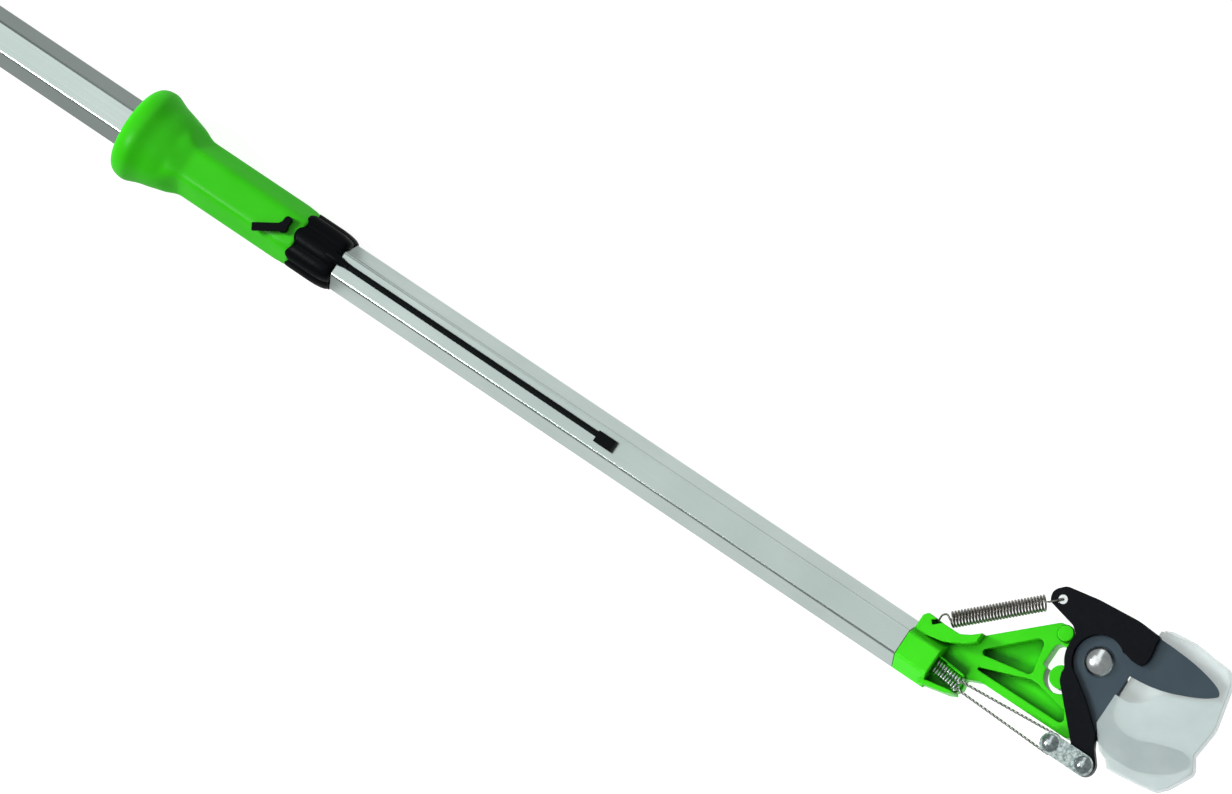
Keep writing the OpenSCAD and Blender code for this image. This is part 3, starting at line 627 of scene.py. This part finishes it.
pull = LINK_TRAVEL / np.linalg.norm(LINK_TRAVEL)
t = np.linspace(0, 1, 190)[:, None]
for name, (_, front), end in zip(("rope_run_upper", "rope_run_lower"), GUIDE_HEIGHTS, loop_path[[0, -1]]):
    start = np.array([GUIDE_TO, front, MID_Z])
    run = stranded(name, start + t * (end - start))
    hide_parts("wire_rope")
    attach(run, "pole")
    share = np.linalg.norm(LINK_TRAVEL) / abs((end - start) @ pull)
    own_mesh(run)

# %% [markdown]
# ## Pull cord
# The cord has a braided black cover. It leaves the ring, lies on the tube's face and dips
# under the inlet hood. The braid is two families of waves that cross, in the radius. Each
# yarn could be a tube of its own, but the waves show the same relief with far fewer faces.

# %% Braided cord
CORD_RADIUS, CORD_Y, CORD_Z = 1.95 * MM, 1.7 * MM, 15.95 * MM
CORD_FROM, CORD_TO, CORD_DEEP = 956 * MM, 1190 * MM, 7.5 * MM
DIP_FROM, HELD_TO = 1171.3 * MM, 972 * MM
CORD_SIDES, YARNS, BRAID, YARN_RISE = 24, 6, 7 * MM, 0.05

x = np.linspace(CORD_FROM, CORD_TO, 900)
dip = (CORD_Z - CORD_DEEP) * eased((x - DIP_FROM) / (CORD_TO - DIP_FROM))
cord_path = np.stack([x, np.full_like(x, CORD_Y), CORD_Z - dip], -1)
turn = np.linspace(0, 2 * np.pi, CORD_SIDES, endpoint=False)
wave = 2 * np.pi * x[:, None] / BRAID
yarn = np.abs(np.sin(YARNS / 2 * turn + wave) * np.sin(YARNS / 2 * turn - wave))
cord_r = CORD_RADIUS * (1 - YARN_RISE + YARN_RISE * yarn)
cord = carry_ring("braided_cord", cord_path, (0, 0, 1), cord_r, CORD_SIDES)

braid = Finish("braided_cover", Specular_IOR_Level=0.06)
fibre = braid.noise(2600, 3)
yarn_black = braid.tint(fibre, (0.002, 0.003, 0.003), (0.006, 0.008, 0.008))
braid.look(yarn_black, braid.between(fibre, 0.5, 0.7))
braid.relief(fibre, 0.04 * MM)
cord.data.materials.append(braid.material)
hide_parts("pull_cord")
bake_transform(cord)

# %% [markdown]
# ## Slide grip
# The grip is a six-sided sleeve that swells into a flare. A hexagon with soft corners has
# a neat formula: the distance to the centre is a flat's distance divided by the p-norm of
# the three cosines to its flats. A large p makes sharp corners and p = 4 a circle, so one
# surface runs from the firm hexagon of the sleeve to the flare, which is an oval cone with
# a rolled lip. At the front the sleeve turns round to go under the ring.

# %% Soft hexagons
def soft_hexagon(flat, sharp, turn):
    """Distance from centre to rim: flat over the sharp-norm of the cosines to the flats."""
    cosines = np.abs(np.cos(turn[..., None] - np.radians([90, 150, 210])))
    at_flat = (1 + 2 * 0.5 ** sharp) ** (1 / sharp)
    return flat * at_flat / (cosines ** sharp[..., None]).sum(-1) ** (1 / sharp)


def bell(x, middle, width):
    """Bell curve of height 1: e to the minus square of the distance over the width."""
    return np.exp(-((x - middle) / width) ** 2)


flat_and_corner = soft_hexagon(10.0, np.array([14.0, 14.0]), np.radians([90, 120]))
print("soft hexagon, at a flat and at a corner:", np.round(flat_and_corner, 2))

# %% [markdown]
# The outer profile is worked out along X: a straight sleeve, a crease, a cone and a lip that
# curls in, with a low bead on the lip. The crease is the softened corner of two straight
# lines, the logarithm of one plus an exponential.

# %% Outer profile of the grip
GRIP_REAR, GRIP_FRONT = 808 * MM, 941 * MM
SLEEVE_FLAT, FLARE_SLOPE, FLARE_WIDER = 17.8 * MM, 0.255, 0.145
CREASE, CREASE_SOFT = 855 * MM, 1.4 * MM
LIP, LIP_DROP, LIP_BEAD = 822 * MM, 9 * MM, 0.32 * MM
SLEEVE_SHARP, FLARE_LESS, NOSE_LESS = 14, 9.5, 7

nose = GRIP_FRONT - np.array([0, 0.15, 0.6, 2]) * MM
sleeve = np.linspace(GRIP_FRONT - 4 * MM, CREASE + 9 * MM, 12)
bent = np.linspace(CREASE + 8 * MM, CREASE - 8 * MM, 30)
widening = np.linspace(CREASE - 9 * MM, LIP, 24)
rolled = GRIP_REAR + (LIP - GRIP_REAR) * (1 - np.sin(np.linspace(0, np.pi / 2, 24)[1:]))
outer_x = np.concatenate([nose, sleeve, bent, widening, rolled])
cone = FLARE_SLOPE * CREASE_SOFT * np.log1p(np.exp((CREASE - outer_x) / CREASE_SOFT))
curl = np.clip((LIP - outer_x) / (LIP - GRIP_REAR), 0, 1)
bead = LIP_BEAD * (bell(outer_x, LIP - 2 * MM, 4 * MM) - bell(outer_x, LIP + 7 * MM, 5 * MM))
outer_flat = SLEEVE_FLAT + cone + bead - LIP_DROP * (1 - np.sqrt(1 - 0.98 * curl ** 2))
outer_flat[:4] -= np.array([0.7, 0.35, 0.1, 0]) * MM
flared = eased((CREASE + 2 * MM - outer_x) / (16 * MM))
at_nose = eased((outer_x - GRIP_FRONT + 9 * MM) / (8 * MM))
outer_sharp = SLEEVE_SHARP - FLARE_LESS * flared - NOSE_LESS * at_nose
outer_widen = 1 + FLARE_WIDER * flared
print("grip flat, sleeve and flare", np.round([SLEEVE_FLAT, outer_flat.max()], 4))

# %% [markdown]
# The bore is a sharper hexagon round the tube. Its few rings close the outer profile, and
# all rings together make one skin that wraps both ways, so that it has no open edge.

# %% Slide grip as one closed skin
BORE_FLAT, BORE_SHARP, GRIP_SIDES = 14.5 * MM, 26.0, 240

inner_x = np.array([GRIP_REAR, GRIP_REAR + 1 * MM, GRIP_REAR + 14 * MM, GRIP_FRONT - 6 * MM, GRIP_FRONT])
inner_flat = BORE_FLAT + np.array([3, 1.7, 0, 0, 0]) * MM
x = np.concatenate([outer_x, inner_x])[:, None]
flats = np.concatenate([outer_flat, inner_flat])[:, None]
sharp = np.concatenate([outer_sharp, np.full_like(inner_x, BORE_SHARP)])[:, None]
widen = np.concatenate([outer_widen, np.ones_like(inner_x)])[:, None]
turn = np.broadcast_to(np.linspace(0, 2 * np.pi, GRIP_SIDES, endpoint=False), (len(x), GRIP_SIDES))
far = soft_hexagon(flats, np.broadcast_to(sharp, turn.shape), turn)
skin = np.stack([np.broadcast_to(x, turn.shape), far * np.cos(turn) * widen, far * np.sin(turn)], -1)
grip = new_piece("slide_grip", skin, grid_faces(len(x), GRIP_SIDES, True, True)[:, ::-1])
grip.data.materials.append(green.material)
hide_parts("grip_sleeve")
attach(grip, "slider")

# %% [markdown]
# ## Nose ring
# The black ring is a wheel with eight broad lobes. Its radius is a valley plus a power of
# a cosine of eight times half the angle, and its rear edge follows the same wave, so the
# lobes reach back over the sleeve like fingers. Grooves cut into a cylinder would leave
# hard edges; the wave keeps them round, as a mould does.

# %% Nose ring as one closed skin
RING_FRONT, RING_TOP, RING_VALLEY = 971 * MM, 19.2 * MM, 17.3 * MM
LOBES, LOBE_TURN, LOBE_POWER = 8, math.radians(83.5), 0.7
FINGER, FINGER_GAP, RING_SIDES = 3.4 * MM, 0.8 * MM, 288

turn = np.linspace(0, 2 * np.pi, RING_SIDES, endpoint=False)
lobe = np.abs(np.cos(LOBES / 2 * (turn - LOBE_TURN))) ** LOBE_POWER
bore = soft_hexagon(BORE_FLAT, np.full(RING_SIDES, BORE_SHARP), turn)
share = np.array([0, 0, 0.03, 0.08, 0.2, 0.4, 0.6, 0.75, 0.86, 0.93, 0.97, 0.99, 1.0])[:, None]
inward = np.array([2.4, 0.7, 0.15, 0, 0, 0, 0, 0.2, 0.7, 1.3, 2.0, 2.7, 3.6])[:, None] * MM
rear_edge = GRIP_FRONT - FINGER * lobe + FINGER_GAP
ring_x = rear_edge + share * (RING_FRONT - rear_edge)
ring_far = RING_VALLEY + (RING_TOP - RING_VALLEY) * lobe - inward
bore_x = np.repeat([RING_FRONT, RING_FRONT, GRIP_FRONT, GRIP_FRONT], RING_SIDES).reshape(4, -1)
ring_x = np.concatenate([ring_x, bore_x])
ring_far = np.concatenate([ring_far, [bore + 0.5 * MM, bore, bore, bore + 0.5 * MM]])
skin = np.stack([ring_x, ring_far * np.cos(turn), ring_far * np.sin(turn)], -1)
ring = new_piece("nose_ring", skin, grid_faces(len(skin), RING_SIDES, True, True))

# %% [markdown]
# The cord leaves the ring through a short spout, a circle that narrows as it runs forward.
# It is a piece of its own, since a spout on the ring's skin would need another grid.

# %% Cord outlet
OUTLET_FROM, OUTLET_TO, OUTLET_SIDES = 962 * MM, 979 * MM, 32
OUTLET_RADIUS, OUTLET_TAPER = 3.4 * MM, 1.3 * MM

x = np.linspace(OUTLET_FROM, OUTLET_TO, 24)
spout = OUTLET_RADIUS - OUTLET_TAPER * eased((x - OUTLET_FROM - 6 * MM) / (10 * MM))
spout_path = np.stack([x, np.full_like(x, CORD_Y), np.full_like(x, CORD_Z)], -1)
outlet = carry_ring("cord_outlet", spout_path, (0, 0, 1), spout[:, None], OUTLET_SIDES)
for piece in (ring, outlet):
    piece.data.materials.append(black.material)
    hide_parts("grip_ring")
    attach(piece, "slider")
